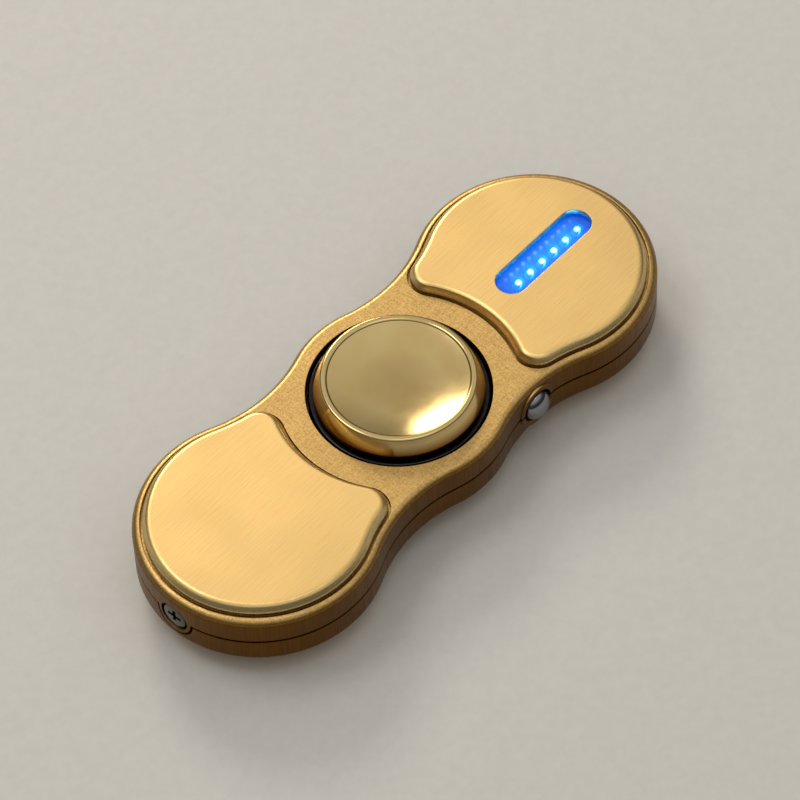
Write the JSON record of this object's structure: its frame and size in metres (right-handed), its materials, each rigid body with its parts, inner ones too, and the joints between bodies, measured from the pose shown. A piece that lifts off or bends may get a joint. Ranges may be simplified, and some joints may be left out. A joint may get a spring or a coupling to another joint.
{
  "type": "fidget spinner",
  "caption": "Slim two-lobed metal spinner on a ball bearing between dished finger caps, with a light window, battery and side push button.",
  "frame": {"origin": "centre of the object: on the bearing axis, at half the body's thickness", "axes": "+X along the body to the lobe with the light window, +Z along the bearing axis to the window side, -Y to the side with the push button"},
  "size_m": [0.0798, 0.0302, 0.013],
  "materials": {
    "brushed_brass": "brass-plated zinc casting, brushed by hand with fine crossing scratches",
    "satin_brass_plate": "satin brass plate with fine straight brush lines along the body",
    "polished_brass": "polished to a mirror",
    "bearing_steel": "ground and polished bearing steel",
    "cage_brass": "plain stamped brass",
    "chrome": "bright chrome plate",
    "nickel_plate": "bright nickel plate",
    "blue_lens": "clear blue moulded plastic",
    "led_body": "white diode package with clear face",
    "circuit_board": "glass-fibre board with green solder mask",
    "black_plastic": "moulded black plastic",
    "contact_spring": "tinned phosphor bronze",
    "red_insulation": "red PVC insulation",
    "black_insulation": "black PVC insulation"
  },
  "bodies": {
    "hub": {"upper_finger_cap": "polished_brass", "lower_finger_cap": "polished_brass", "bearing_inner_race": "bearing_steel"},
    "cage": {"bearing_cage": "cage_brass", "bearing_ball_1": "bearing_steel", "bearing_ball_2": "bearing_steel", "bearing_ball_3": "bearing_steel", "bearing_ball_4": "bearing_steel", "bearing_ball_5": "bearing_steel", "bearing_ball_6": "bearing_steel", "bearing_ball_7": "bearing_steel"},
    "spinner": {"upper_shell": "brushed_brass", "lower_shell": "brushed_brass", "led_cover_plate": "satin_brass_plate", "plain_cover_plate": "satin_brass_plate", "led_underside_plate": "satin_brass_plate", "battery_underside_plate": "satin_brass_plate", "window_lens": "blue_lens", "circuit_board": "circuit_board", "display_led_1": "led_body", "display_led_2": "led_body", "display_led_3": "led_body", "display_led_4": "led_body", "display_led_5": "led_body", "display_led_6": "led_body", "controller_chip": "black_plastic", "motion_switch": "nickel_plate", "tactile_switch": "black_plastic", "battery_cell": "nickel_plate", "battery_holder": "black_plastic", "positive_contact": "contact_spring", "negative_contact": "contact_spring", "positive_lead": "red_insulation", "negative_lead": "black_insulation", "end_screw": "nickel_plate", "bearing_outer_race": "bearing_steel", "upper_bearing_shield": "bearing_steel", "lower_bearing_shield": "bearing_steel"},
    "button": {"power_button": "chrome", "switch_plunger": "black_plastic"}
  },
  "joints": [
    {"name": "body_spin", "type": "hinge", "parent": "hub", "child": "spinner", "pos_m": [0, 0, 0], "axis": [0, 0, 1], "continuous": true},
    {"name": "cage_spin", "type": "hinge", "parent": "hub", "child": "cage", "pos_m": [0, 0, 0], "axis": [0, 0, 1], "continuous": true},
    {"name": "button_press", "type": "slide", "parent": "spinner", "child": "button", "axis": [0, 1, 0], "range_m": [0, 0.0006], "stiffness_N_per_m": 2500, "springref_m": -0.0002}
  ],
  "couplings": [
    {"joint": "cage_spin", "follows": "body_spin", "ratio": 0.6323}
  ]
}
